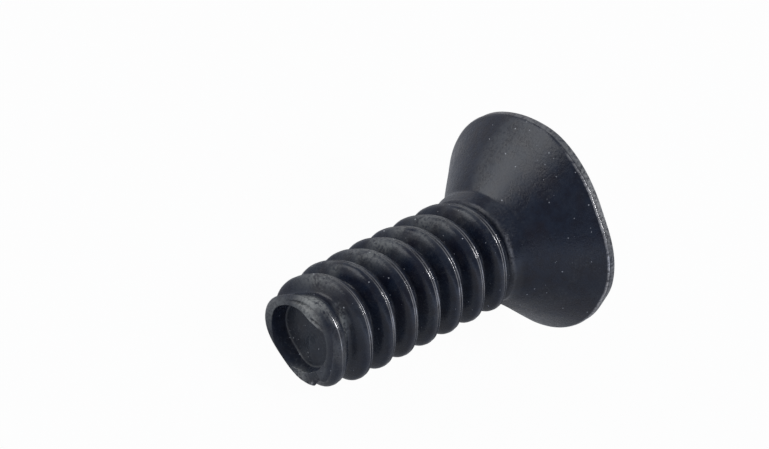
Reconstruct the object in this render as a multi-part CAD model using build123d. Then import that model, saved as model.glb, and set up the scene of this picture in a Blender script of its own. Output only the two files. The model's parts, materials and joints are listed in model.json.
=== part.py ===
"""Thread rolling screw, 3.5 mm by 9.5 mm, flat countersunk head with a cross recess.

The screw is one piece of steel: the head is forged cold on a cut wire, then the shank is
rolled between dies into a three-lobed, right-hand thread. It is modelled upright, with
the flat top of the head at z = 0 and the shank pointing down, and is then laid down as it
comes to rest on a table: on the rim of the head and on the thread next to the tip, rolled
until the hollow between two lobes faces down, where it stays.
"""
import os
from math import atan, ceil, cos, degrees, floor, pi, radians, sin, tan

from build123d import *

# Whole screw, in millimetres
length = 9.57            # flat top of the head to the lip of the tip
roll = 60.0              # degrees between the lowest line of the shank and its nearest lobe

# Head
head_radius = 3.34
edge_bevel_run = 0.36    # bevel round the flat top, measured across
edge_bevel_drop = 0.18   # the same bevel, measured down
rim_height = 0.235       # upright band between the bevel and the cone
cone_angle = 82.0        # included angle of the countersink
neck_radius = 1.65       # plain neck between the cone and the thread
neck_length = 0.23       # the same neck, along the axis
neck_bevel = 0.16        # its foot, down to the root of the thread, measured along the axis

# Shank and thread
crest_radius = 1.76      # mean radius over the crests; a three-lobed shank has one width
lobe_height = 0.099      # how far a lobe stands out of that mean radius
pitch = 0.887
crest_start = 0.877      # flat top to the crest, where the thread crosses the lowest line
flank_angle = 48.0       # included angle of the lower flanks
crest_flat = 0.10
shoulder_run = 0.19      # rounded shoulder beside the crest, along the axis
shoulder_drop = 0.17     # the same shoulder, towards the axis
root_flat = 0.14
lead_length = 1.48       # tapered stretch of thread at the tip
lead_height = 0.10       # height of the crest over the root where the thread ends

# Cupped tip
collar_radius = 1.42     # mean outer radius of the tip, just before the lip
collar_height = 0.55     # swollen stretch behind the lip
lip_bevel = 0.13         # rolled outer edge of the lip
lip_wall = 0.15          # width of the lip inside that edge
cup_depth = 0.50
cup_draft = 0.10         # how far the wall of the cup leans in on its way down

# Cross recess
recess_reach = 2.36      # axis to the end of a wing, under the flared mouth
recess_width = 1.26      # width of a wing, under the flared mouth
recess_flare = 0.13      # how far the mouth opens out on every side
flare_depth = 0.11
wing_depth = 1.85        # flat top to the foot of the wings
wing_slope = 26.5        # degrees between the end of a wing and the axis
width_draft = 0.14       # how far each side of a wing leans in on its way down
wing_corner = 0.24       # radius of the corners at the end of a wing
core_corner = 0.10       # radius of the corners between two wings
pilot_depth = 2.20       # flat top to the lowest point of the recess
pilot_share = 0.25       # size of that lowest point, as a share of the wings' foot
recess_turn = 45.0       # degrees between a wing and the lowest line of the shank

# How finely a turn of the thread is stepped
steps_per_turn = 16

# Sizes that follow from those above
rim_top = -edge_bevel_drop
rim_foot = rim_top - rim_height
cone_slope = tan(radians(cone_angle / 2))
flank_slope = tan(radians(flank_angle / 2))
flank_run = (pitch - crest_flat - root_flat) / 2 - shoulder_run
thread_depth = flank_run / flank_slope + shoulder_drop
root_radius = crest_radius - thread_depth
lead_top = lead_length - length
lip_radius = collar_radius - lip_bevel


def lobes(angle):
    """How far the shank stands out of its mean radius at an angle in radians."""
    return lobe_height * cos(3 * (angle + radians(roll)))


def shank_outline(radius, height):
    """Closed three-lobed outline round the axis, as a face."""
    corners = []
    for step in range(3 * steps_per_turn // 2):
        angle = 2 * pi * step / (3 * steps_per_turn // 2)
        reach = radius + lobes(angle)
        corners.append((reach * cos(angle), reach * sin(angle), height))
    return make_face(Spline(*corners, periodic=True))


def cone_height(radius):
    """Height at which the countersink cone has a radius."""
    return rim_foot - (head_radius - radius) / cone_slope


def head():
    """Head, turned about the axis, with a neck that ends in the root of the thread."""
    buried_radius = root_radius - 2 * lobe_height
    neck_foot = cone_height(neck_radius) - neck_length
    outline = Polyline(
        (0, 0),
        (head_radius - edge_bevel_run, 0),
        (head_radius, rim_top),
        (head_radius, rim_foot),
        (neck_radius, cone_height(neck_radius)),
        (neck_radius, neck_foot),
        (buried_radius, neck_foot - neck_bevel),
        (0, neck_foot - neck_bevel),
        close=True,
    )
    return revolve(make_face(Plane.XZ * outline), Axis.Z)


def thread_point(turn, rise, offset):
    """Point on the thread after a number of turns, at a rise over the root and an offset."""
    angle = 2 * pi * turn
    height = pitch * turn - crest_start
    lead = min(max((lead_top - height) / lead_length, 0), 1)
    share = 1 - (1 - lead_height / thread_depth) * lead**1.5
    reach = root_radius + lobes(angle) + rise * share
    return Vector(reach * cos(angle), reach * sin(angle), height + offset)


def thread_edge(first, rise, offset):
    """One turn of a line along the thread, starting at a whole turn."""
    shares = [step / steps_per_turn for step in range(steps_per_turn + 1)]
    points = [thread_point(first + share, rise, offset) for share in shares]
    nudge = 0.01
    slopes = []
    for turn in (first, first + 1):
        chord = thread_point(turn + nudge, rise, offset) - thread_point(turn - nudge, rise, offset)
        slopes.append(chord / (2 * nudge))
    return Edge.make_spline(points, tangents=slopes, parameters=shares, scale=False)


def end_faces(edge, profile):
    """Helical face from the axis out to an edge, and the flat face that closes it."""
    low = Vector(0, 0, profile[0].Z)
    high = Vector(0, 0, profile[-1].Z)
    flat = make_face(Polyline(low, *profile, high, close=True)).face()
    return [Face.make_surface_from_curves(Edge.make_line(low, high), edge), flat]


def threaded_shank():
    """Shank with its thread: root, flanks, shoulders and crest, stepped turn by turn."""
    half_crest = crest_flat / 2
    half_shoulder = half_crest + shoulder_run
    half_foot = half_shoulder + flank_run
    half_side = [(0, half_foot)]
    for share in (1, 0.5, 0):
        half_side.append((thread_depth - shoulder_drop * share**2, half_crest + shoulder_run * share))
    section = [(rise, -offset) for rise, offset in half_side] + half_side[::-1]
    first = floor((crest_start - length + half_foot) / pitch) - 1
    last = ceil((crest_start + cone_height(crest_radius + lobe_height) + half_foot) / pitch) + 1
    turns = range(first, last)
    lines = [[thread_edge(turn, rise, offset) for rise, offset in section] for turn in turns]
    faces = []
    for turn_lines in lines:
        for lower, upper in zip(turn_lines, turn_lines[1:]):
            faces.append(Face.make_surface_from_curves(lower, upper))
    for turn_lines, next_lines in zip(lines, lines[1:]):
        faces.append(Face.make_surface_from_curves(turn_lines[-1], next_lines[0]))
    tip_profile = [thread_point(first, *corner) for corner in section]
    tip_profile.append(thread_point(first + 1, *section[0]))
    head_profile = [thread_point(last, *corner) for corner in section]
    head_profile.insert(0, thread_point(last - 1, *section[-1]))
    faces += end_faces(lines[0][0], tip_profile)
    faces += end_faces(lines[-1][-1], head_profile)
    return Solid(Shell(Face.sew_faces(faces)[0]))


def tip_collar():
    """Stretch behind the lip where the rolled metal has filled the root of the thread."""
    top = shank_outline(root_radius - lip_bevel / 2, collar_height - length)
    rim = shank_outline(collar_radius, lip_bevel - length)
    end = shank_outline(collar_radius, -length - lip_bevel)
    return loft([top, rim], ruled=True) + loft([rim, end], ruled=True)


def shank_envelope():
    """Three-lobed outline that trims the shank at the lip and bevels the lip's outer edge."""
    rise = thread_depth + 2 * lip_bevel
    lip = shank_outline(lip_radius, -length)
    bevel_top = shank_outline(lip_radius + rise, rise - length)
    top = shank_outline(lip_radius + rise, 0)
    return loft([lip, bevel_top], ruled=True) + loft([bevel_top, top], ruled=True)


def cup():
    """Cup in the tip, left where the rolled metal flowed past the end of the wire."""
    mouth_radius = lip_radius - lip_wall
    mouth = shank_outline(mouth_radius, -length)
    floor = shank_outline(mouth_radius - cup_draft, cup_depth - length)
    return loft([mouth, floor], ruled=True)


def cross_outline(reach, width, height, share=1.0):
    """Cross with rounded corners at a height, as a face."""
    half = width / 2
    corners = []
    radii = []
    wing = [(half, -half, core_corner), (reach, -half, wing_corner), (reach, half, wing_corner)]
    for quarter in range(4):
        for along, across, radius in wing:
            point = Vector(along * share, across * share, 0).rotate(Axis.Z, 90 * quarter)
            corners.append((point.X, point.Y))
            radii.append(radius * share)
    return make_face(Pos(0, 0, height) * FilletPolyline(*corners, radius=radii, close=True))


def cross_recess():
    """Four-winged driver recess: flared mouth, wings that lean in, and a pointed pilot."""
    foot_reach = recess_reach - (wing_depth - flare_depth) * tan(radians(wing_slope))
    foot_width = recess_width - 2 * width_draft
    mouth = cross_outline(recess_reach + recess_flare, recess_width + 2 * recess_flare, 0)
    neck = cross_outline(recess_reach, recess_width, -flare_depth)
    foot = cross_outline(foot_reach, foot_width, -wing_depth)
    pilot = cross_outline(foot_reach, foot_width, -pilot_depth, pilot_share)
    outlines = [mouth, neck, foot, pilot]
    stages = [loft([upper, lower], ruled=True) for upper, lower in zip(outlines, outlines[1:])]
    return Rot(0, 0, recess_turn) * (stages[0] + stages[1:])


def resting_tilt():
    """Degrees by which the axis leans down to the tip, with the rim and a crest on the table."""
    tilts = []
    steps = 6 * steps_per_turn
    for step in range(ceil(length / pitch) * steps):
        crest = thread_point(-step / steps, thread_depth, -crest_flat / 2)
        if -length < crest.Z < cone_height(crest_radius) and crest.X > 0:
            tilts.append(atan((head_radius - crest.X) / (rim_foot - crest.Z)))
    return degrees(min(tilts))


def screw():
    """The whole screw, lying with the tip towards -X, its lowest points at z = 0."""
    shank = (threaded_shank() + tip_collar()) & shank_envelope()
    upright = head() + shank - cup() - cross_recess()
    lying = Rot(0, 90 - resting_tilt(), 0) * upright
    box = lying.bounding_box()
    return Pos(-box.center().X, -box.center().Y, -box.min.Z) * lying


os.makedirs("parts", exist_ok=True)
export_step(screw(), "parts/screw.step")
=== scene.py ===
"""Thread rolling screw in black-finished steel, lying on a pale table.

The steel is one closed skin, made here in the order of the real work: the head and its
recess are forged, the blank is drawn to the tip and the thread is rolled. The finish is
mixed just before the thread, because the rolled skin takes it at once.
"""
import json
import math

import bmesh
import bpy
import numpy as np
from mathutils import Matrix, Vector


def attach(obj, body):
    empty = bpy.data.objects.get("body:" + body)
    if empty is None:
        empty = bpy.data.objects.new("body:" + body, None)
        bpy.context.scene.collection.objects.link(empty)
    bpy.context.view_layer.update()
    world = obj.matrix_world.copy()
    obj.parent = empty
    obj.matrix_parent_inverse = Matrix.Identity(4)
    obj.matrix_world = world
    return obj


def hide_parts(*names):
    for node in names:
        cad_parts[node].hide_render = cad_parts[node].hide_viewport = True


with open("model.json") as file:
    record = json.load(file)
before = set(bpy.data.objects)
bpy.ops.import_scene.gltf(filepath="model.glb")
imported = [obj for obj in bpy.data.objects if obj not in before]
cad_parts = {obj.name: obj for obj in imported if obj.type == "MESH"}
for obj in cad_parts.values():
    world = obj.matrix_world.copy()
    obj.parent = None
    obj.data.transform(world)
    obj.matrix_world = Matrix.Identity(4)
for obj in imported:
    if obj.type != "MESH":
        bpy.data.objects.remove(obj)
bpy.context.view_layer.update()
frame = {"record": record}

# ---------------------------------------------------------------------------------------
# Camera. A long lens looks down on the screw from the side of its tip, turned about its
# own line of sight so that the head stands to the right.
# ---------------------------------------------------------------------------------------
camera_place = Vector((-0.2544293, -0.0672735, 0.2291218))
camera_aim = Vector((0.0016236, 0.0023329, 0.0008241))
camera_top = Vector((0.262074, 0.801055, 0.538171))

camera_data = bpy.data.cameras.new("camera")
camera_data.sensor_width = 36
camera_data.lens = 561.77
camera_data.clip_start = 0.01
camera_data.clip_end = 10
camera = bpy.data.objects.new("camera", camera_data)
bpy.context.scene.collection.objects.link(camera)
camera_back = (camera_place - camera_aim).normalized()
camera_right = camera_top.cross(camera_back).normalized()
camera_turn = Matrix((camera_right, camera_back.cross(camera_right), camera_back)).transposed()
camera.matrix_world = Matrix.Translation(camera_place) @ camera_turn.to_4x4()
bpy.context.scene.camera = camera

# ---------------------------------------------------------------------------------------
# Driver recess: four wings punched into the flat top, with leaning walls, a flared mouth
# and a pointed pilot. Steel is followed in rings, from the bottom of the pilot outwards;
# sizes are in millimetres from the flat top, which is at height 0 with the tip below.
# ---------------------------------------------------------------------------------------
columns = 288                  # points round the screw
recess_turn = math.radians(45)
pilot_depth = 2.20
pilot_share = 0.25             # size of the pilot's bottom, as a share of the wings' foot
pilot_dimple = 0.01
wing_depth = 1.85
wing_foot = (1.493, 0.98)      # reach and width of the wings at their foot
wing_neck = (2.36, 1.26)       # the same under the flared mouth
wing_mouth = (2.49, 1.52)      # the same at the flat top
wing_crispness = 13.0          # how square the end of a wing is
wing_valley = math.radians(4)  # how softly two wings meet
wing_groove = 0.02             # line that the punch leaves at the foot of the walls
flare_depth = 0.11
mouth_waver = 0.012
punched = 0.3                  # how rough the punch leaves the steel
wall_steps = (0.0, 0.03, 0.12, 0.25, 0.4, 0.55, 0.7, 0.82, 0.92, 0.98)
flare_steps = ((0.12, 0.118), (0.4, 0.080), (0.7, 0.046), (0.88, 0.022), (1.0, 0.008),
               (1.12, 0.0))    # share of the flare, and depth under the flat top

angles = np.arange(columns) * 2 * np.pi / columns
skin_rings = []
finish_marks = []


def lay_ring(radius, height, wear_and_glint=0.0, rough=0.0, pale=0.0):
    """Next ring of steel, with its wear and painted glint, its roughness, and its paleness from
    deposit and painted light.
    """
    radius = np.broadcast_to(np.asarray(radius, float), columns)
    height = np.broadcast_to(np.asarray(height, float), columns)
    skin_rings.append(np.stack([radius * np.cos(angles), radius * np.sin(angles), height], 1))
    marks = [np.broadcast_to(np.asarray(mark, float), columns) for mark in (wear_and_glint, rough, pale)]
    finish_marks.append(np.stack(marks, 1))


def ripple(seed, fewest, most):
    """Slow uneven wave round the screw, between -1 and 1, the same every time."""
    dice = np.random.default_rng(seed)
    total = np.zeros_like(angles)
    weight = 0.0
    for wave in range(fewest, most + 1):
        total += dice.uniform(0.5, 1) * np.sin(wave * angles + dice.uniform(0, 2 * np.pi))
        weight += 0.5
    return total / weight / 1.6


def wing_contour(reach, width):
    """Radius of the four-winged outline at each angle."""
    lean = np.abs((angles - recess_turn + np.pi / 4) % (np.pi / 2) - np.pi / 4)
    lean = np.pi / 4 - np.sqrt((np.pi / 4 - lean) ** 2 + wing_valley**2) + wing_valley * 0.25
    lean = np.clip(lean, 0, None)
    end = np.cos(lean) / reach
    side = np.sin(lean) / (width / 2)
    return (end**wing_crispness + side**wing_crispness) ** (-1 / wing_crispness)


pilot_point = (0.0, 0.0, -pilot_depth - pilot_dimple)
foot_contour = wing_contour(*wing_foot)
neck_contour = wing_contour(*wing_neck)
mouth_contour = wing_contour(*wing_mouth) + mouth_waver * ripple(3, 3, 9)
for share in (0.45, 0.8, 1.0):
    lay_ring(foot_contour * pilot_share * share, -pilot_depth, rough=punched)
for share in (0.15, 0.35, 0.55, 0.75, 0.9, 0.97):
    sunk = pilot_depth + (wing_depth - pilot_depth) * share
    lay_ring(foot_contour * (pilot_share + (1 - pilot_share) * share), -sunk, rough=punched)
for share in wall_steps:
    wall = foot_contour + (neck_contour - foot_contour) * share
    sunk = wing_depth + (flare_depth - wing_depth) * share
    lay_ring(wall, -sunk - (wing_groove if share == 0 else 0), rough=0.25)
for share, drop in flare_steps:
    flare = neck_contour + (mouth_contour - neck_contour) * share
    lay_ring(flare, -drop, wear_and_glint=0.10 * share, rough=punched)

# ---------------------------------------------------------------------------------------
# Head: the flat top, its bevelled edge, the rough band that the forging die leaves round
# the rim, and the countersink cone. The band is scuffed to bare steel; the cone is smooth,
# with a pale patch on its lit side that is painted light, mottled like dried phosphate.
# ---------------------------------------------------------------------------------------
head_radius = 3.34
top_radius = 2.98
top_hollow = 0.006             # how far the flat top sinks towards its edge
top_edge = 0.02                # half the width of the worn edge round the flat top
top_steps = (0.08, 0.2, 0.34, 0.48, 0.62, 0.75, 0.86, 0.94)
rim_top = -0.18
rim_foot = -0.415
rim_bulges = ((0, 0), (95, 0), (130, 0.04), (147, 0.11), (161, 0.20), (171, 0.17),
              (180, 0.12), (190, 0.06), (202, -0.02), (211, -0.06), (219, 0.01),
              (233, 0.09), (250, 0.08), (261, -0.02), (270, 0), (290, 0), (320, 0.04),
              (345, 0))        # degrees round the screw, and how far out of round
edge_waver = 0.010
rim_waver = 0.012
band_waver = 0.030             # how unevenly the band ends above the cone
scuff_depth = 0.007
cone_slope = math.tan(math.radians(41))
cone_end = -1.985              # height at which the rows of the blank take over
cone_dent = 0.0035
cone_steps = (0.050, 0.08, 0.14, 0.25, 0.39, 0.55, 0.71, 0.87, 1.03, 1.19, 1.33, 1.46, 1.57)
lit_side_residue_share = 0.17
lit_side_residue_sides = (121, 178)     # degrees round the screw between which the painted light lies
lit_side_residue_foot = -2.45


def ease(value):
    """Smooth step from 0 to 1."""
    value = np.clip(value, 0, 1)
    return value * value * (3 - 2 * value)


def near(centre, width, angle=angles):
    """1 at an angle round the screw, falling to 0 at a width to each side, in degrees."""
    away = np.abs((np.degrees(angle) - centre + 180) % 360 - 180)
    return ease(1 - away / width)


def round_shape(corners, blur):
    """Smooth closed course through (degrees, value) pairs, for every column."""
    course = np.interp(np.degrees(angles), *zip(*corners), period=360)
    steps = np.fft.rfftfreq(columns, 1 / columns)
    softening = np.exp(-((steps * math.radians(blur)) ** 2) / 2)
    return np.fft.irfft(np.fft.rfft(course) * softening, columns)


def dapple(angle, along, waves):
    """Sum of slanting waves, each with its height, turns, steepness and start."""
    total = 0
    for height, turns, steepness, start in waves:
        total = total + height * np.sin(turns * angle + steepness * along + start)
    return total


def cone_radius(height, angle):
    """Radius of the countersink cone, with the slow dents of forging."""
    below = rim_foot - height
    dent = dapple(angle, below, ((1, 2, 3.1, 0.4), (1, 3, -2.3, 2.0), (1, 5, 4.7, 0),
                                 (0.6, 9, -6.0, 1.0)))
    return head_radius - below * cone_slope - cone_dent * (dent + 2.5) * ease(below / 0.5)


def lit_side_residue(height, angle):
    """Share of paleness on the lit side of the cone and on top of the neck: painted light, mottled
    like dried phosphate.
    """
    side = np.degrees(angle) % 360 + 4 * np.sin(3.1 * height)
    across = ease((side - lit_side_residue_sides[0]) / 12) * ease((lit_side_residue_sides[1] - side) / 28)
    return lit_side_residue_share * across * ease((height - lit_side_residue_foot) / 0.35)


inner_edge = flare             # edge of the recess, where its flare dies out
for share in top_steps:
    face = inner_edge + (top_radius - inner_edge) * share
    lay_ring(face, -top_hollow * ease(share) * (1 + ripple(8, 2, 5)), rough=0.45)
edge_wave = edge_waver * (1 + ripple(11, 3, 14))
out_of_round = round_shape(rim_bulges, 4.0)
rim_wave = rim_waver * (1 + ripple(12, 2, 11)) - out_of_round
lay_ring(top_radius - top_edge, -0.010, rough=0.5, wear_and_glint=0.05)
lay_ring(top_radius + top_edge - edge_wave, -0.022, rough=0.6, wear_and_glint=0.12)
for share in (0.25, 0.5, 0.75):
    bevel = top_radius + (head_radius - top_radius) * share
    lay_ring(bevel - edge_wave - rim_wave * share, rim_top * share - 0.018,
             rough=0.8, wear_and_glint=0.12)

foot_wave = band_waver * ripple(13, 2, 13)
streak = np.clip(0.5 + 0.9 * ripple(14, 3, 24), 0, 1)
# The band is paler on one side.
band_paleness = 0.25 + 0.35 * near(195, 75)
lay_ring(head_radius - 0.030 - rim_wave, rim_top - 0.008,
         rough=1.0, wear_and_glint=0.25 + 0.3 * streak, pale=band_paleness)
lay_ring(head_radius - 0.008 - rim_wave, rim_top - 0.030,
         rough=1.0, wear_and_glint=0.20 + 0.5 * streak, pale=band_paleness)
for place, share in enumerate((0.2, 0.4, 0.6, 0.8)):
    band = rim_top + (rim_foot + foot_wave - rim_top) * share
    scuff = scuff_depth * (1 + ripple(20 + place, 9, 48))
    lay_ring(head_radius - 0.002 - rim_wave - scuff, band, rough=1.0,
             wear_and_glint=0.12 + 0.25 * streak * (1 - share), pale=band_paleness * (0.6 + 0.4 * streak))

# The edge under the band is worn to bare steel most where the top lamp glints: a painted highlight
# over real wear.
rubbed_glint_side = near(206, 38)
lower_side = near(255, 40)
kept_side = near(125, 55)      # the edge is still black here
edge_rub_and_glint = 0.30 * streak + 0.9 * rubbed_glint_side + 0.35 * lower_side
edge_rub_and_glint = edge_rub_and_glint * (1 - kept_side)
edge_radius = head_radius + 0.8 * out_of_round
edge_height = rim_foot + foot_wave
lay_ring(edge_radius - 0.016 - 0.016 * near(140, 50), edge_height + 0.026, rough=0.7)
lay_ring(edge_radius - 0.005, edge_height + 0.012, rough=0.2, wear_and_glint=2.0 * edge_rub_and_glint)
lay_ring(edge_radius - 0.012, edge_height - 0.004, rough=0.2, wear_and_glint=1.8 * edge_rub_and_glint)
for below in cone_steps:
    edge_pull = 0.75 * out_of_round * (1 - ease(below / 0.9))
    cone_height = rim_foot - below - 0.004
    lay_ring(cone_radius(rim_foot - below, angles) + edge_pull, cone_height,
             rough=0.55, pale=lit_side_residue(cone_height, angles))
head_rings = len(skin_rings)

# ---------------------------------------------------------------------------------------
# Blank: the drawn wire under the head, from the foot of the cone through the leaning neck
# to the swollen collar at the tip. Its rows already follow the helix that the dies will
# roll, so that crests stay crisp.
# ---------------------------------------------------------------------------------------
length = 9.57
pitch = 0.887
crest_start = 0.877            # depth of the crest on the side where angles start
roll = math.radians(60)        # angle between that side and the lobe next to it
lobe_height = 0.099
root_radius = 1.290
wire_radius = root_radius - 0.15
neck_radius = 1.63
neck_bevel = 0.16
neck_lean = 0.28               # how much the neck widens for each millimetre up
neck_bead = 0.016              # edge that the dies roll up at the foot of the neck
neck_undercut = 0.26           # how far its bevel draws in below that edge
neck_lobes = 0.7               # share of the lobes that the neck shows
neck_waver = 0.006
cone_blend = 0.05              # how softly the cone meets the neck
thread_out = 75                # degrees round the screw where the thread runs out
neck_start = pitch * (thread_out / 360 - 3 + 0.5) - crest_start
collar_radius = 1.42
collar_height = 0.55
collar_hollow = 0.055          # hollow behind one side of the lip
lip_bevel = 0.13
notch_depth = 0.14             # notch in the collar where the thread ends
shank_top = cone_end - 0.05
shank_end = lip_bevel - length
snap = 0.008                   # rows closer than this to either end join it
rows = (-0.4435, -0.395, -0.350, -0.305, -0.265, -0.225, -0.188, -0.152, -0.120, -0.094,
        -0.070, -0.050, -0.032, -0.015, 0.0, 0.015, 0.030, 0.046, 0.062, 0.078, 0.094,
        0.111, 0.130, 0.152, 0.180, 0.220, 0.270, 0.325, 0.385)  # offsets from the crest


def lobes(angle):
    """How far the three-lobed shank stands out of its mean radius."""
    return lobe_height * np.cos(3 * (angle + roll))


def neck_foot(angle):
    """Height of the foot of the neck, which follows the end of the thread round the screw."""
    back = (angle - math.radians(thread_out)) % (2 * np.pi) / (2 * np.pi)
    return neck_start + pitch * back - pitch * ease(back * 12 - 11)


def blank_radius(height, angle):
    """Radius of the blank before rolling, at a height and an angle."""
    cone = cone_radius(height, angle)
    over_foot = height - neck_foot(angle)
    neck = neck_radius + neck_lobes * lobes(angle)
    neck = neck + neck_waver * np.sin(7 * angle + 9 * height)
    neck = neck + neck_lean * np.clip(over_foot, 0, 0.4)
    neck = neck + neck_bead * ease(1 - np.abs(over_foot - 0.025) / 0.05)
    neck = neck - neck_undercut * np.clip(-over_foot / neck_bevel, 0, 2.2)
    wire = np.full_like(height, wire_radius)
    collar_foot = root_radius - lip_bevel / 2
    swell = (-length + collar_height - height) / (collar_height - lip_bevel)
    collar = collar_foot + swell * (collar_radius - root_radius + lip_bevel / 2)
    hollow = np.clip(1 - np.abs(height + length - 0.215) / 0.09, 0, 1) * near(108, 55, angle)
    notch = notch_depth * near(-66, 12, angle) * ease((-9.12 - height) / 0.25)
    collar = collar + lobes(angle) - collar_hollow * ease(hollow) - notch
    collar = np.where(swell > 0, collar, 0)
    upper = 0.5 * (cone + neck + np.sqrt((cone - neck) ** 2 + cone_blend**2))
    return np.maximum(np.maximum(upper, wire), collar)


first_turn = math.floor((shank_end + crest_start) / pitch - 1.6)
last_turn = math.ceil((shank_top + crest_start) / pitch + 0.6)
row_heights = []
for turn in range(first_turn, last_turn + 1):
    for row in rows:
        row_heights.append(pitch * turn - crest_start + row)
row_heights = np.array(row_heights)[:, None] + pitch * angles[None, :] / (2 * np.pi)
row_heights = np.where(row_heights > shank_top - snap, shank_top, row_heights)
row_heights = np.where(row_heights < shank_end + snap, shank_end, row_heights)
row_angles = np.broadcast_to(angles, row_heights.shape)
row_radii = blank_radius(row_heights, row_angles)

# Pale clouds lie on crests and flanks of the lit side: painted light, mottled like chalky residue.
from_crest = np.abs(np.tile(rows, last_turn - first_turn + 1)[:, None])
cloud = dapple(row_angles, row_heights, ((1, 3, 2.1, 0.5), (1, 5, -3.3, 1.2),
                                         (0.8, 9, 7.2, 0), (0.7, 16, -15, 2)))
cloud = cloud + 1.7 * np.cos(2 * np.pi * (row_heights + 6.69) / 2.1) + 0.9
cloud = ease(0.45 + 0.28 * cloud) * ease(1.6 - from_crest / 0.27)
lit_side_chalk = 0.55 * near(140, 45, row_angles) * ease((-1.9 - row_heights) / 2.8) * cloud
# Paler patches by the tip are painted reflection of the table.
tip_painted_reflection = 0.09 * near(-150, 64, row_angles) * ease((-8.0 - row_heights) / 0.5)
lip_painted_reflection = 0.26 * near(-132, 36, row_angles) * ease((-8.75 - row_heights) / 0.15)
collar_band = 0.95 * near(-157, 36, row_angles) * ease(1.4 - np.abs(row_heights + 8.83) / 0.12)
# The grooves are paler on one side.
groove_pale = 0.08 * near(-105, 60, row_angles) * ease((from_crest - 0.15) / 0.1)
lip_chalk = near(160, 46, row_angles) * ease((-length + 0.42 - row_heights) / 0.12)
row_pale = lit_side_chalk
for patch in (tip_painted_reflection, lip_painted_reflection, collar_band, groove_pale, lip_chalk):
    row_pale = np.maximum(row_pale, patch)
row_rough = 0.2 + 0.35 * ease((row_heights + 2.3) / 0.2)
row_rough = row_rough + 0.4 * ease(1 - np.abs(row_heights + 2.62) / 0.32)
row_rough = np.maximum(row_rough, ease(row_pale * 2.5))
row_pale = np.maximum(row_pale, lit_side_residue(row_heights, row_angles))
# Bare steel along the foot of the neck is gathered where the top lamp glints: a painted highlight
# over real wear.
row_wear_and_glint = ease(1 - np.abs(row_heights - neck_foot(row_angles) - 0.02) / 0.04)
row_wear_and_glint = row_wear_and_glint * (0.10 + 0.6 * near(-150, 40, row_angles))

# ---------------------------------------------------------------------------------------
# Tip: the rolled metal has flowed past the end of the wire and left a lip round a cup.
# The lip is uneven, with a stretch pressed flat, a fold beside it and a torn stretch.
# ---------------------------------------------------------------------------------------
lip_draw = 0.17                # how far the lip draws in where the thread ends
lip_sink = 0.12                # and how far it sinks back there
lip_shelf = 0.02               # step between the bevel of the lip and its flat end
lip_waver = 0.010
lip_frays = (0.09, 0.20)       # how far the torn stretch frays outwards and endwards
facet_depth = 0.20             # how far back the lip is pressed flat
cup_depth = 0.50
cup_rise = 0.13                # how much shallower the cup is on one side
cup_mouth = ((-167, 1.04), (-157, 1.22), (-128, 1.18), (-98, 1.07), (-70, 1.06), (-40, 1.09),
             (0, 1.19), (30, 1.18), (62, 1.15), (82, 1.15), (110, 1.05), (142, 0.98),
             (174, 0.91))      # degrees round the screw, and radius
cup_bottom = ((-165, 1.06), (-140, 1.10), (-70, 1.05), (0, 1.02), (60, 1.06), (110, 1.0),
              (150, 0.93))     # the same at the floor
fold_depth = 0.40
fold_steps = ((0.160, 0.0), (0.142, 1.0), (0.078, 0.95), (0.064, 0.0), (0.025, -0.03))
facet = near(160, 46)          # where the lip is pressed flat
torn = near(-35, 27)           # where it is torn
crack = near(-171, 17)         # where it is folded
tongue = near(176, 30)         # bright metal inside the fold
gap = near(-66, 12)            # where the thread ends and the lip draws in
spark = near(-56, 5)           # bare point beside that end
left_lip = near(85, 50)
rag = ripple(41, 12, 60)
rag_fine = ripple(42, 25, 80)

mouth = round_shape(cup_mouth, 3.0)
lip_edge = collar_radius + lobes(angles) - lip_draw * gap
deposit = np.maximum(0.20 + 0.45 * left_lip, np.maximum(facet, 0.7 * torn))
lip_rough = 0.4 + 0.6 * torn
for share in (0.15, 0.35, 0.55, 0.75, 0.9):
    radius = lip_edge - lip_bevel * (share**1.6) + lip_frays[0] * torn * rag * share
    radius = radius - 0.03 * near(15, 45) * share
    lay_ring(radius, shank_end - lip_bevel * share, wear_and_glint=0.08 * torn + spark * (share > 0.7),
             rough=lip_rough, pale=deposit * np.maximum(share, facet))

lip_flat = lip_edge - lip_bevel - lip_shelf
lip_top = -length + 0.004 + lip_waver * (1 + ripple(44, 2, 7))
lip_top = lip_top + torn * (0.04 + lip_frays[1] * rag) + lip_sink * gap
lip_foot = lip_top + facet_depth * facet
room = np.clip((lip_flat - mouth) / 0.30, 0, 1)      # 1 where the lip is wide enough to fold
for share in (0.0, 0.15, 0.35, 0.6, 0.85):
    radius = lip_flat + (mouth + 0.16 * room - lip_flat) * share
    height = lip_foot + (lip_top - lip_foot) * share + 0.03 * torn * rag_fine
    lay_ring(radius, height, wear_and_glint=0.05 * facet + 0.10 * torn, rough=lip_rough, pale=deposit)
fold = fold_depth * crack
for back, drop in fold_steps:
    radius = mouth + back * room * (1 + 0.25 * near(-173, 19)) + 0.02 * torn * rag_fine
    inner = tongue * (back < 0.07)
    split = 0.10 * torn * np.clip(rag_fine, 0, 1) * (drop > 0.5)
    in_fold = crack * (drop > 0.1)
    lay_ring(radius, lip_top + fold * drop + split, wear_and_glint=0.25 * inner + 0.08 * torn,
             rough=0.5 + 0.5 * torn, pale=np.maximum(deposit * (1 - in_fold), 0.9 * inner))

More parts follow.
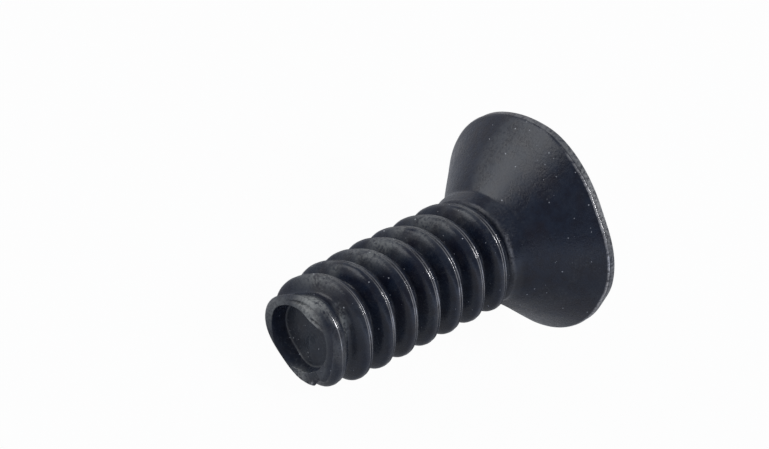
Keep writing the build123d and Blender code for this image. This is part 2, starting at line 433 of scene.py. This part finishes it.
ragged_mouth = mouth + torn * (0.07 * rag_fine - 0.01)
mouth_pale = np.maximum(deposit, tongue)
lay_ring(ragged_mouth + 0.006, lip_top + 0.004, wear_and_glint=0.2 * tongue, rough=0.4, pale=mouth_pale)
lay_ring(ragged_mouth, lip_top + 0.016, wear_and_glint=0.1 * tongue, rough=0.3, pale=0.8 * mouth_pale)
cup_floor = -length + cup_depth - cup_rise * near(-45, 48)
cup_foot = round_shape(cup_bottom, 12)
for share in (0.04, 0.15, 0.35, 0.6, 0.85, 0.95):
    radius = ragged_mouth + (cup_foot - ragged_mouth) * share ** 0.8
    height = lip_top + 0.016 + (cup_floor - lip_top - 0.016) * share
    lay_ring(radius - 0.03 * torn * rag * (1 - share), height,
             pale=0.03 + 0.4 * torn * (1 - share) ** 3)
# The paler ring where the floor meets the wall is a painted highlight along that edge.
lay_ring(cup_foot - 0.008, cup_floor - 0.006, wear_and_glint=0.03, pale=0.25)
lay_ring(cup_foot - 0.030, cup_floor, wear_and_glint=0.03, pale=0.25)
for share in (0.93, 0.85, 0.68, 0.5, 0.32, 0.15):
    lay_ring(cup_foot * share, cup_floor + 0.02 * (1 - share), pale=0.11)
cup_point = (0.0, 0.0, -length + cup_depth + 0.022)

# ---------------------------------------------------------------------------------------
# Skin: the rings of head and tip and the rows of the blank are joined into one closed
# mesh, as the screw is one piece of steel. It keeps at its points the marks of wear and
# roughness, and of paleness and glints, which are partly painted light.
# ---------------------------------------------------------------------------------------
points = [pilot_point]
marks = [(0.0, punched, 0.0)]
ring_index = []
for ring, mark in zip(skin_rings[:head_rings], finish_marks[:head_rings]):
    ring_index.append(np.arange(columns) + len(points))
    points.extend(map(tuple, ring))
    marks.extend(map(tuple, mark))
blank_first = len(points)
row_count = len(row_heights)
row_index = np.zeros((row_count, columns), int)
top_ring = np.full(columns, -1)
end_ring = np.full(columns, -1)
for row in range(row_count):
    for column in range(columns):
        height = row_heights[row, column]
        closing = top_ring if height == shank_top else (end_ring if height == shank_end else None)
        if closing is not None and closing[column] >= 0:
            row_index[row, column] = closing[column]
            continue
        row_index[row, column] = len(points)
        if closing is not None:
            closing[column] = len(points)
        radius = row_radii[row, column]
        angle = angles[column]
        points.append((radius * math.cos(angle), radius * math.sin(angle), height))
        marks.append((row_wear_and_glint[row, column], row_rough[row, column], row_pale[row, column]))
blank_last = len(points)
tip_rings = []
for ring, mark in zip(skin_rings[head_rings:], finish_marks[head_rings:]):
    tip_rings.append(np.arange(columns) + len(points))
    points.extend(map(tuple, ring))
    marks.extend(map(tuple, mark))
cup_index = len(points)
points.append(cup_point)
marks.append((0.0, 0.0, 0.11))

faces = []


def join(corners):
    """Face over corners, without those that fall on each other."""
    kept = [corner for place, corner in enumerate(corners) if corner != corners[place - 1]]
    if len(set(kept)) >= 3:
        faces.append([int(corner) for corner in kept])


def bridge(upper, lower):
    """Faces between two rings."""
    for column in range(columns):
        beside = (column + 1) % columns
        join([upper[column], lower[column], lower[beside], upper[beside]])


for column in range(columns):
    join([0, ring_index[0][column], ring_index[0][(column + 1) % columns]])
for upper, lower in zip(ring_index, ring_index[1:]):
    bridge(upper, lower)
bridge(ring_index[-1], top_ring)
per_turn = len(rows)
for row in range(row_count - 1):
    for column in range(columns):
        if column + 1 < columns:
            right_low = row_index[row, column + 1]
            right_high = row_index[row + 1, column + 1]
        else:
            right_low = row_index[min(row + per_turn, row_count - 1), 0]
            right_high = row_index[min(row + 1 + per_turn, row_count - 1), 0]
        join([row_index[row, column], right_low, right_high, row_index[row + 1, column]])
bridge(end_ring, tip_rings[0])
for upper, lower in zip(tip_rings, tip_rings[1:]):
    bridge(upper, lower)
for column in range(columns):
    join([cup_index, tip_rings[-1][(column + 1) % columns], tip_rings[-1][column]])

skin = bpy.data.meshes.new("screw_steel")
skin.from_pydata([tuple(point) for point in points], [], faces)
marks = np.array(marks, np.float32)
is_blank = np.zeros(len(points), np.float32)
is_blank[blank_first:blank_last] = 1
for name, values in zip(("wear_and_glint", "rough", "pale", "blank"), (*marks.T, is_blank)):
    attribute = skin.attributes.new(name, "FLOAT", "POINT")
    attribute.data.foreach_set("value", np.ascontiguousarray(values))
screw = bpy.data.objects.new("screw_steel", skin)
bpy.context.scene.collection.objects.link(screw)

# ---------------------------------------------------------------------------------------
# Finish: black oxide over phosphate on case-hardened steel. It is satin, navy black,
# mottled and speckled with dust; edges that rub are worn through to bare steel. Pale marks
# are deposit, and also painted light on the lit side and by the tip; the bare steel is
# gathered where the lamps glint, as painted highlights.
# ---------------------------------------------------------------------------------------
navy_black = (0.0085, 0.0140, 0.0290, 1)
soot_black = (0.0075, 0.0095, 0.0190, 1)
slate_bloom = (0.022, 0.026, 0.034, 1)
umber_stain = (0.018, 0.014, 0.018, 1)
# The pale tone serves deposit, and painted light on the lit side and by the tip.
pale_deposit_and_light = (0.215, 0.222, 0.216, 1)
# Bare steel, also laid where the lamps glint as a painted highlight.
bare_steel_and_glint = (0.52, 0.51, 0.51, 1)
dust_grey = (0.42, 0.43, 0.46, 1)
bloom_share = 0.40
stain_share = 0.3
frost_share = 0.07
dust_spacing = 0.00016         # in metres, as all sizes in this section
relief_height = 0.000015

finish = bpy.data.materials.new("black_steel_finish")
finish.use_nodes = True
nodes = finish.node_tree.nodes
links = finish.node_tree.links
nodes.clear()


def add_node(kind, **settings):
    """Node of the finish, with its settings and the values of its unlinked sockets."""
    node = nodes.new(kind)
    for name, value in settings.items():
        if name == "sockets":
            for socket, number in value.items():
                node.inputs[socket].default_value = number
        else:
            setattr(node, name, value)
    return node


def figure(operation, first, second, clamp=False):
    """Sum, product or other figure of two sockets or numbers."""
    node = add_node("ShaderNodeMath", operation=operation, use_clamp=clamp)
    for socket, value in enumerate((first, second)):
        if isinstance(value, (int, float)):
            node.inputs[socket].default_value = value
        else:
            links.new(value, node.inputs[socket])
    return node.outputs[0]


def spread(value, low, high, to_low=0.0, to_high=1.0):
    """A socket's range stretched smoothly to another one, and held there."""
    node = add_node("ShaderNodeMapRange", clamp=True, interpolation_type="SMOOTHSTEP",
                    sockets={"From Min": low, "From Max": high,
                             "To Min": to_low, "To Max": to_high})
    links.new(value, node.inputs["Value"])
    return node.outputs["Result"]


def tint(share, first, second):
    """Colour between two colours."""
    node = add_node("ShaderNodeMix", data_type="RGBA")
    links.new(share, node.inputs[0])
    for socket, colour in ((6, first), (7, second)):
        if isinstance(colour, tuple):
            node.inputs[socket].default_value = colour
        else:
            links.new(colour, node.inputs[socket])
    return node.outputs[2]


def mixed(first, second, share):
    """A share of one noise and the rest of another."""
    return figure("ADD", figure("MULTIPLY", first, share), figure("MULTIPLY", second, 1 - share))


place = add_node("ShaderNodeTexCoord").outputs["Object"]


def grain(grain_size, detail, roughness, distortion=0.0):
    """Noise whose features are about a size."""
    node = add_node("ShaderNodeTexNoise", sockets={"Scale": 1 / grain_size, "Detail": detail,
                                                   "Roughness": roughness,
                                                   "Distortion": distortion})
    links.new(place, node.inputs["Vector"])
    return node.outputs["Fac"]


def mark_of(name):
    """Mark of wear kept with the skin."""
    return add_node("ShaderNodeAttribute", attribute_name=name).outputs["Fac"]


wear_and_glint_mark = mark_of("wear_and_glint")
rough_mark = mark_of("rough")
pale_mark = mark_of("pale")
crest_mark = mark_of("crest")
bloom_cloud = grain(0.0016, 4.0, 0.6, 0.4)
stain_cloud = grain(0.0011, 2.0, 0.5, 0.3)
blotch = grain(0.00035, 4.0, 0.65)
speckle = grain(0.00009, 2.0, 0.6)
fine_speckle = grain(0.000035, 2.0, 0.5)

bloom = spread(mixed(bloom_cloud, blotch, 0.6), 0.44, 0.66)
stain = spread(stain_cloud, 0.50, 0.66)
frost = figure("MULTIPLY", spread(bloom_cloud, 0.46, 0.62), spread(speckle, 0.50, 0.66))
base = tint(spread(blotch, 0.35, 0.65), soot_black, navy_black)
base = tint(figure("MULTIPLY", bloom, bloom_share), base, slate_bloom)
base = tint(figure("MULTIPLY", stain, stain_share), base, umber_stain)
base = tint(figure("MULTIPLY", frost, frost_share), base, pale_deposit_and_light)

# Pale marks are deposit on the lip, and painted light on the lit side and by the tip.
bald = figure("MULTIPLY", rough_mark, spread(mixed(speckle, blotch, 0.65), 0.40, 0.56, 0.85, 0.0))
chalk_and_painted_light = figure("MULTIPLY", pale_mark, figure("SUBTRACT", 1.0, bald), clamp=True)
base = tint(chalk_and_painted_light, base, pale_deposit_and_light)
# Bare steel from wear, gathered on the rim edge, the neck foot and the crests where the lamps
# glint: partly painted highlight.
scuffs_and_glints = figure("MULTIPLY", wear_and_glint_mark, spread(mixed(speckle, blotch, 0.6), 0.36, 0.60, 0.15, 1.0))
crest_wear_and_glint = figure("MULTIPLY", crest_mark, spread(blotch, 0.34, 0.56, 0.50, 0.95))
bare = figure("MAXIMUM", scuffs_and_glints, crest_wear_and_glint, clamp=True)
base = tint(bare, base, bare_steel_and_glint)

dust_cells = add_node("ShaderNodeTexVoronoi", feature="F1",
                      sockets={"Scale": 1 / dust_spacing, "Randomness": 1.0})
links.new(place, dust_cells.inputs["Vector"])
dust_kind = add_node("ShaderNodeSeparateColor")
links.new(dust_cells.outputs["Color"], dust_kind.inputs[0])
dust_reach = spread(dust_kind.outputs[0], 0.42, 1.0, 0.0, 0.125)
dust = figure("LESS_THAN", dust_cells.outputs["Distance"], dust_reach)
dust = figure("MULTIPLY", dust, spread(dust_kind.outputs[1], 0.0, 1.0, 0.25, 1.0))
base = tint(dust, base, dust_grey)

gloss = add_node("ShaderNodeBsdfPrincipled", sockets={"IOR": 1.5, "Specular IOR Level": 0.30})
links.new(base, gloss.inputs["Base Color"])
links.new(figure("MULTIPLY", bare, 0.75), gloss.inputs["Metallic"])
unrubbed = figure("SUBTRACT", 1.0, spread(crest_mark, 0.0, 0.5))
mottle = mixed(blotch, speckle, 0.5)
roughness = spread(mottle, 0.40, 0.60, 0.19, 0.28)
roughness = figure("ADD", roughness, figure("MULTIPLY", rough_mark, 0.14))
roughness = figure("MULTIPLY", roughness, figure("ADD", figure("MULTIPLY", unrubbed, 0.45), 0.55))
roughness = figure("ADD", roughness, figure("MULTIPLY", dust, 0.3), clamp=True)
links.new(roughness, gloss.inputs["Roughness"])

relief = figure("ADD", mottle, figure("MULTIPLY", fine_speckle, 0.3))
coarse = figure("MULTIPLY", figure("MAXIMUM", rough_mark, pale_mark), 1.5)
relief = figure("MULTIPLY", relief, figure("ADD", coarse, 0.25))
relief = figure("MULTIPLY", relief, unrubbed)
bump = add_node("ShaderNodeBump", sockets={"Strength": 1.0, "Distance": relief_height})
links.new(relief, bump.inputs["Height"])
links.new(bump.outputs["Normal"], gloss.inputs["Normal"])
surface = add_node("ShaderNodeOutputMaterial")
links.new(gloss.outputs["BSDF"], surface.inputs["Surface"])

# ---------------------------------------------------------------------------------------
# Thread: two flat dies roll a right-hand, three-lobed thread into the blank. Metal rises
# from both sides of each groove and meets in a shallow seam along the crest.
# ---------------------------------------------------------------------------------------
thread_sizes = (
    ("Pitch", pitch),
    ("Crest Start", crest_start),
    ("Root Radius", root_radius),
    ("Crest Height", 0.470),
    ("Lobe Height", lobe_height),
    ("Roll", roll),
    ("Lead Top", -8.09),
    ("Lead Length", 1.48),
    ("Lead Height", 0.10),
    ("Blend", 0.06),
    ("Run Out", -2.62),
    ("Run Out Length", 0.20),
    ("Start", -9.42),
    ("Start Length", 0.10),
    ("Seam Start", -9.05),
    ("Seam Start Length", 0.5),
    ("Seam Depth", 0.034),
    ("Seam Width", 0.030),
    ("Seam Shift", 0.012),
    ("Seam Drift", 0.035),
    ("Seam Drift Side", math.radians(40)),
    ("Seam Waver", 0.018),
    ("Lip Height", 0.010),
    ("Lip Width", 0.022),
    ("Unevenness", 0.016),
    # The crest wear gathers where the top lamp glints: a painted highlight over real wear.
    ("Wear And Glint Side", math.radians(150)),
    ("Wear And Glint Sharpness", 14.0),
    ("Wear All Round", 0.11),
)
tip_side_of_crest = ((-0.94, 0.004), (-0.87, 0.04), (-0.79, 0.145), (-0.68, 0.36),
                     (-0.54, 0.655), (-0.43, 0.82), (-0.33, 0.915), (-0.22, 0.972),
                     (-0.10, 0.998))
head_side_of_crest = ((0.0, 1.0), (0.10, 0.992), (0.22, 0.972), (0.33, 0.93), (0.42, 0.86),
                      (0.52, 0.70), (0.62, 0.475), (0.72, 0.255), (0.81, 0.10), (0.88, 0.03),
                      (0.94, 0.004))

tree = bpy.data.node_groups.new("thread_rolling", "GeometryNodeTree")
tree.interface.new_socket("Blank", in_out="INPUT", socket_type="NodeSocketGeometry")
for name, value in thread_sizes:
    size = tree.interface.new_socket(name, in_out="INPUT", socket_type="NodeSocketFloat")
    size.default_value = value
tree.interface.new_socket("Finish", in_out="INPUT", socket_type="NodeSocketMaterial")
tree.interface.new_socket("Screw", in_out="OUTPUT", socket_type="NodeSocketGeometry")
given = tree.nodes.new("NodeGroupInput").outputs


def work(operation, *values):
    """Figure of the thread's rule, from sockets and numbers."""
    node = tree.nodes.new("ShaderNodeMath")
    node.operation = operation
    for socket, value in zip(node.inputs, values):
        if isinstance(value, (int, float)):
            socket.default_value = value
        else:
            tree.links.new(value, socket)
    return node.outputs[0]


def product(*values):
    """Product of sockets and numbers."""
    total = values[0]
    for value in values[1:]:
        total = work("MULTIPLY", total, value)
    return total


def held(value):
    """Figure held between 0 and 1."""
    return work("MINIMUM", work("MAXIMUM", value, 0.0), 1.0)


def side(angle):
    """2 where the angle round the screw is the opposite of this one, and 0 across from it."""
    return work("ADD", 1.0, work("COSINE", work("ADD", turn_angle, angle)))


def waver(scale, seed):
    """Smooth noise over the skin, between -1 and 1."""
    node = tree.nodes.new("ShaderNodeTexNoise")
    node.noise_dimensions = "4D"
    tree.links.new(spot, node.inputs["Vector"])
    node.inputs["W"].default_value = seed
    node.inputs["Scale"].default_value = scale
    node.inputs["Detail"].default_value = 1.5
    return work("MULTIPLY", work("SUBTRACT", node.outputs["Fac"], 0.5), 2.6)


# Where a point lies: along the screw, round it, and beside the nearest crest.
spot = tree.nodes.new("GeometryNodeInputPosition").outputs[0]
parts = tree.nodes.new("ShaderNodeSeparateXYZ")
tree.links.new(spot, parts.inputs[0])
turn_angle = work("ARCTAN2", parts.outputs["Y"], parts.outputs["X"])
along = work("DIVIDE", work("ADD", parts.outputs["Z"], given["Crest Start"]), given["Pitch"])
turns = work("SUBTRACT", along, work("DIVIDE", turn_angle, 2 * math.pi))
beside = work("SUBTRACT", work("FRACT", work("ADD", turns, 0.5)), 0.5)
offset = work("MULTIPLY", beside, given["Pitch"])
crest_place = work("SUBTRACT", parts.outputs["Z"], offset)

# How far the thread is formed there: less along the lead, and not at all past its ends.
lead = work("DIVIDE", work("SUBTRACT", given["Lead Top"], crest_place), given["Lead Length"])
least = work("SUBTRACT", 1.0, work("DIVIDE", given["Lead Height"], given["Crest Height"]))
formed = work("SUBTRACT", 1.0, work("MULTIPLY", least, work("POWER", held(lead), 1.5)))
run_out = work("DIVIDE", work("SUBTRACT", crest_place, given["Run Out"]), given["Run Out Length"])
begun = work("DIVIDE", work("SUBTRACT", crest_place, given["Start"]), given["Start Length"])
for end in (work("SUBTRACT", 1.0, run_out), begun):
    formed = work("MULTIPLY", formed, held(end))

# The section of the thread, from groove to groove, on the three-lobed root.
arch = tree.nodes.new("ShaderNodeFloatCurve")
tree.links.new(work("ADD", beside, 0.5), arch.inputs["Value"])
curve = arch.mapping.curves[0]
curve.points[0].location = (0.0, 0.0)
curve.points[1].location = (1.0, 0.0)
for across, share in tip_side_of_crest + head_side_of_crest:
    curve.points.new(0.5 + across / 2, share)
arch.mapping.update()
lobe = work("COSINE", work("MULTIPLY", work("ADD", turn_angle, given["Roll"]), 3.0))
lobe = work("MULTIPLY", given["Lobe Height"], lobe)
crest_rise = product(arch.outputs["Value"], given["Crest Height"], formed)
uneven = product(work("ADD", waver(1.7, 21.0), 1.0), product(given["Unevenness"], 0.5))
rolled = work("ADD", work("ADD", given["Root Radius"], lobe), work("SUBTRACT", crest_rise, uneven))

# The seam wanders along the crest, closes towards the tip, and has a raised lip each side.
drift = product(side(given["Seam Drift Side"]), given["Seam Drift"])
seam_place = work("SUBTRACT", offset, work("ADD", given["Seam Shift"], drift))
seam_place = work("ADD", seam_place, product(waver(0.8, 3.0), given["Seam Waver"]))
seam_width = product(given["Seam Width"], work("ADD", 1.0, product(waver(0.5, 8.0), 0.6)))
seam = work("SUBTRACT", 1.0, work("DIVIDE", work("ABSOLUTE", seam_place), seam_width))
seam = held(work("MULTIPLY", seam, 1.6))
opened = work("SUBTRACT", crest_place, given["Seam Start"])
opened = held(work("DIVIDE", opened, given["Seam Start Length"]))
seam_cut = product(seam, seam, given["Seam Depth"], opened)
rolled = work("SUBTRACT", rolled, product(seam_cut, formed))
lip_away = work("SUBTRACT", work("ABSOLUTE", seam_place), product(seam_width, 1.35))
lip_away = product(work("ABSOLUTE", lip_away), opened)
crest_away = product(work("ABSOLUTE", offset), work("SUBTRACT", 1.0, opened))
edge_away = work("ADD", lip_away, crest_away)
lip_line = held(work("SUBTRACT", 1.0, work("DIVIDE", edge_away, given["Lip Width"])))
rolled = work("ADD", rolled, product(lip_line, formed, given["Lip Height"]))

# Only the blank is pressed, and only outwards; the lips of the seam lose their finish,
# most on the side where the top lamp glints, a painted highlight over real wear.
before = work("SQRT", work("ADD", product(parts.outputs["X"], parts.outputs["X"]),
                           product(parts.outputs["Y"], parts.outputs["Y"])))
after = work("SMOOTH_MAX", before, rolled, given["Blend"])
growth = work("DIVIDE", after, before)
moved = tree.nodes.new("ShaderNodeCombineXYZ")
for axis_name in ("X", "Y"):
    tree.links.new(product(parts.outputs[axis_name], growth), moved.inputs[axis_name])
tree.links.new(parts.outputs["Z"], moved.inputs["Z"])
blank_mark = tree.nodes.new("GeometryNodeInputNamedAttribute")
blank_mark.data_type = "FLOAT"
blank_mark.inputs["Name"].default_value = "blank"
on_blank = work("GREATER_THAN", blank_mark.outputs["Attribute"], 0.5)
proud = work("GREATER_THAN", rolled, work("ADD", before, 0.05))
# Bare crest lines are gathered on the side where the top lamp glints, a painted highlight over
# real wear.
rub_and_glint = work("POWER", product(side(given["Wear And Glint Side"]), 0.5), given["Wear And Glint Sharpness"])
rub_and_glint = work("ADD", rub_and_glint, given["Wear All Round"])
keep_wear_and_glint = tree.nodes.new("GeometryNodeStoreNamedAttribute")
keep_wear_and_glint.data_type = "FLOAT"
keep_wear_and_glint.domain = "POINT"
keep_wear_and_glint.inputs["Name"].default_value = "crest"
tree.links.new(given["Blank"], keep_wear_and_glint.inputs["Geometry"])
tree.links.new(product(lip_line, on_blank, proud, rub_and_glint), keep_wear_and_glint.inputs["Value"])
press = tree.nodes.new("GeometryNodeSetPosition")
tree.links.new(keep_wear_and_glint.outputs["Geometry"], press.inputs["Geometry"])
tree.links.new(on_blank, press.inputs["Selection"])
tree.links.new(moved.outputs[0], press.inputs["Position"])
whole = tree.nodes.new("GeometryNodeRealizeInstances")
tree.links.new(press.outputs["Geometry"], whole.inputs["Geometry"])
coat = tree.nodes.new("GeometryNodeSetMaterial")
tree.links.new(whole.outputs["Geometry"], coat.inputs["Geometry"])
tree.links.new(given["Finish"], coat.inputs["Material"])
result = tree.nodes.new("NodeGroupOutput")
tree.links.new(coat.outputs["Geometry"], result.inputs["Screw"])

dies = screw.modifiers.new("thread_rolling", "NODES")
dies.node_group = tree
sockets = {item.name: item.identifier for item in tree.interface.items_tree
           if item.in_out == "INPUT"}
for name, value in thread_sizes:
    dies[sockets[name]] = value
dies[sockets["Finish"]] = finish
bpy.context.view_layer.update()
rolled_screw = screw.evaluated_get(bpy.context.evaluated_depsgraph_get())
rolled_skin = bpy.data.meshes.new_from_object(rolled_screw)
screw.modifiers.clear()
screw.data = rolled_skin
rolled_skin.name = "screw_steel"

# ---------------------------------------------------------------------------------------
# Rest: the finished screw, turned from millimetres into metres, is laid on the table. It
# rests on the rim of the head and on the thread next to the tip.
# ---------------------------------------------------------------------------------------
mounts = {mount["name"]: mount for mount in frame["record"]["mounts"]}
head_centre = Vector(mounts["driver_recess"]["pos_m"])
screw_axis = Vector(mounts["driver_recess"]["axis"]).normalized()
screw_side = Vector((0, 1, 0))
lying = Matrix((screw_side.cross(screw_axis), screw_side, screw_axis)).transposed().to_4x4()
rolled_skin.transform(Matrix.Translation(head_centre) @ lying @ Matrix.Scale(0.001, 4))

shell = bmesh.new()
shell.from_mesh(rolled_skin)
bmesh.ops.recalc_face_normals(shell, faces=shell.faces[:])
bmesh.ops.triangulate(shell, faces=[face for face in shell.faces if len(face.verts) > 4])
shell.to_mesh(rolled_skin)
shell.free()
rolled_skin.shade_smooth()

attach(screw, "root")
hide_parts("screw")

# ---------------------------------------------------------------------------------------
# Table and light: a pale table under soft studio light. A panel stands beside the screw, a
# broad and a narrow one hang above it, and a wide bluish card lies low on the other side.
# ---------------------------------------------------------------------------------------
table_reach = 3.0
table_grey = (0.58, 0.60, 0.63, 1)
seen_white = (1.0, 1.0, 1.0, 1)
mirrored_white = (1.0, 0.96, 0.94, 1)
seen_share = 0.97              # how far the table shows white itself
near_share = 0.15              # how far steel mirrors it as white close to the screw
far_share = 0.56               # the same farther out
near_reach = 0.006
far_reach = 0.018

table_mesh = bpy.data.meshes.new("table")
table_mesh.from_pydata([(-table_reach, -table_reach, 0), (table_reach, -table_reach, 0),
                        (table_reach, table_reach, 0), (-table_reach, table_reach, 0)],
                       [], [(0, 1, 2, 3)])
table = bpy.data.objects.new("table", table_mesh)
bpy.context.scene.collection.objects.link(table)
table_paint = bpy.data.materials.new("pale_table")
table_paint.use_nodes = True
nodes = table_paint.node_tree.nodes
links = table_paint.node_tree.links
nodes.clear()
matt = add_node("ShaderNodeBsdfDiffuse", sockets={"Color": table_grey})
white = add_node("ShaderNodeEmission", sockets={"Strength": 1.0})
ray = add_node("ShaderNodeLightPath")
links.new(tint(ray.outputs["Is Camera Ray"], mirrored_white, seen_white), white.inputs["Color"])
away = add_node("ShaderNodeVectorMath", operation="LENGTH")
links.new(add_node("ShaderNodeTexCoord").outputs["Object"], away.inputs[0])
share_there = spread(away.outputs["Value"], near_reach, far_reach, near_share, far_share)
mirrored = figure("MAXIMUM", ray.outputs["Is Glossy Ray"], ray.outputs["Is Transmission Ray"])
seen = figure("MULTIPLY", ray.outputs["Is Camera Ray"], seen_share)
white_share = figure("MAXIMUM", seen, figure("MULTIPLY", mirrored, share_there))
blend = add_node("ShaderNodeMixShader")
links.new(white_share, blend.inputs[0])
links.new(matt.outputs[0], blend.inputs[1])
links.new(white.outputs[0], blend.inputs[2])
surface = add_node("ShaderNodeOutputMaterial")
links.new(blend.outputs[0], surface.inputs["Surface"])
table_mesh.materials.append(table_paint)


def hang_panel(name, toward, distance, width, height, power, colour=(1, 1, 1)):
    """Soft light panel that faces the screw."""
    data = bpy.data.lights.new(name, "AREA")
    data.shape = "RECTANGLE"
    data.size = width
    data.size_y = height
    data.energy = power
    data.color = colour
    panel = bpy.data.objects.new(name, data)
    stand = Vector(toward).normalized() * distance
    turn = stand.to_track_quat("Z", "Y").to_matrix().to_4x4()
    panel.matrix_world = Matrix.Translation(stand) @ turn
    panel.visible_camera = False
    bpy.context.scene.collection.objects.link(panel)


hang_panel("side_panel", (-0.60, 0.77, 0.29), 0.16, 0.155, 0.094, 0.142)
hang_panel("overhead_panel", (0.25, 0.50, 0.83), 0.20, 0.20, 0.16, 0.034)
hang_panel("top_panel", (0.44, -0.42, 0.80), 0.16, 0.016, 0.072, 0.085)
hang_panel("far_card", (-0.20, -0.97, 0.12), 0.20, 0.42, 0.060, 0.098, (0.70, 0.79, 1.0))

studio = bpy.data.worlds.new("studio")
studio.use_nodes = True
sky = studio.node_tree.nodes["Background"].inputs
sky["Color"].default_value = (0.82, 0.87, 1.0, 1)
sky["Strength"].default_value = 0.36
bpy.context.scene.world = studio
bpy.context.scene.view_settings.view_transform = "Standard"
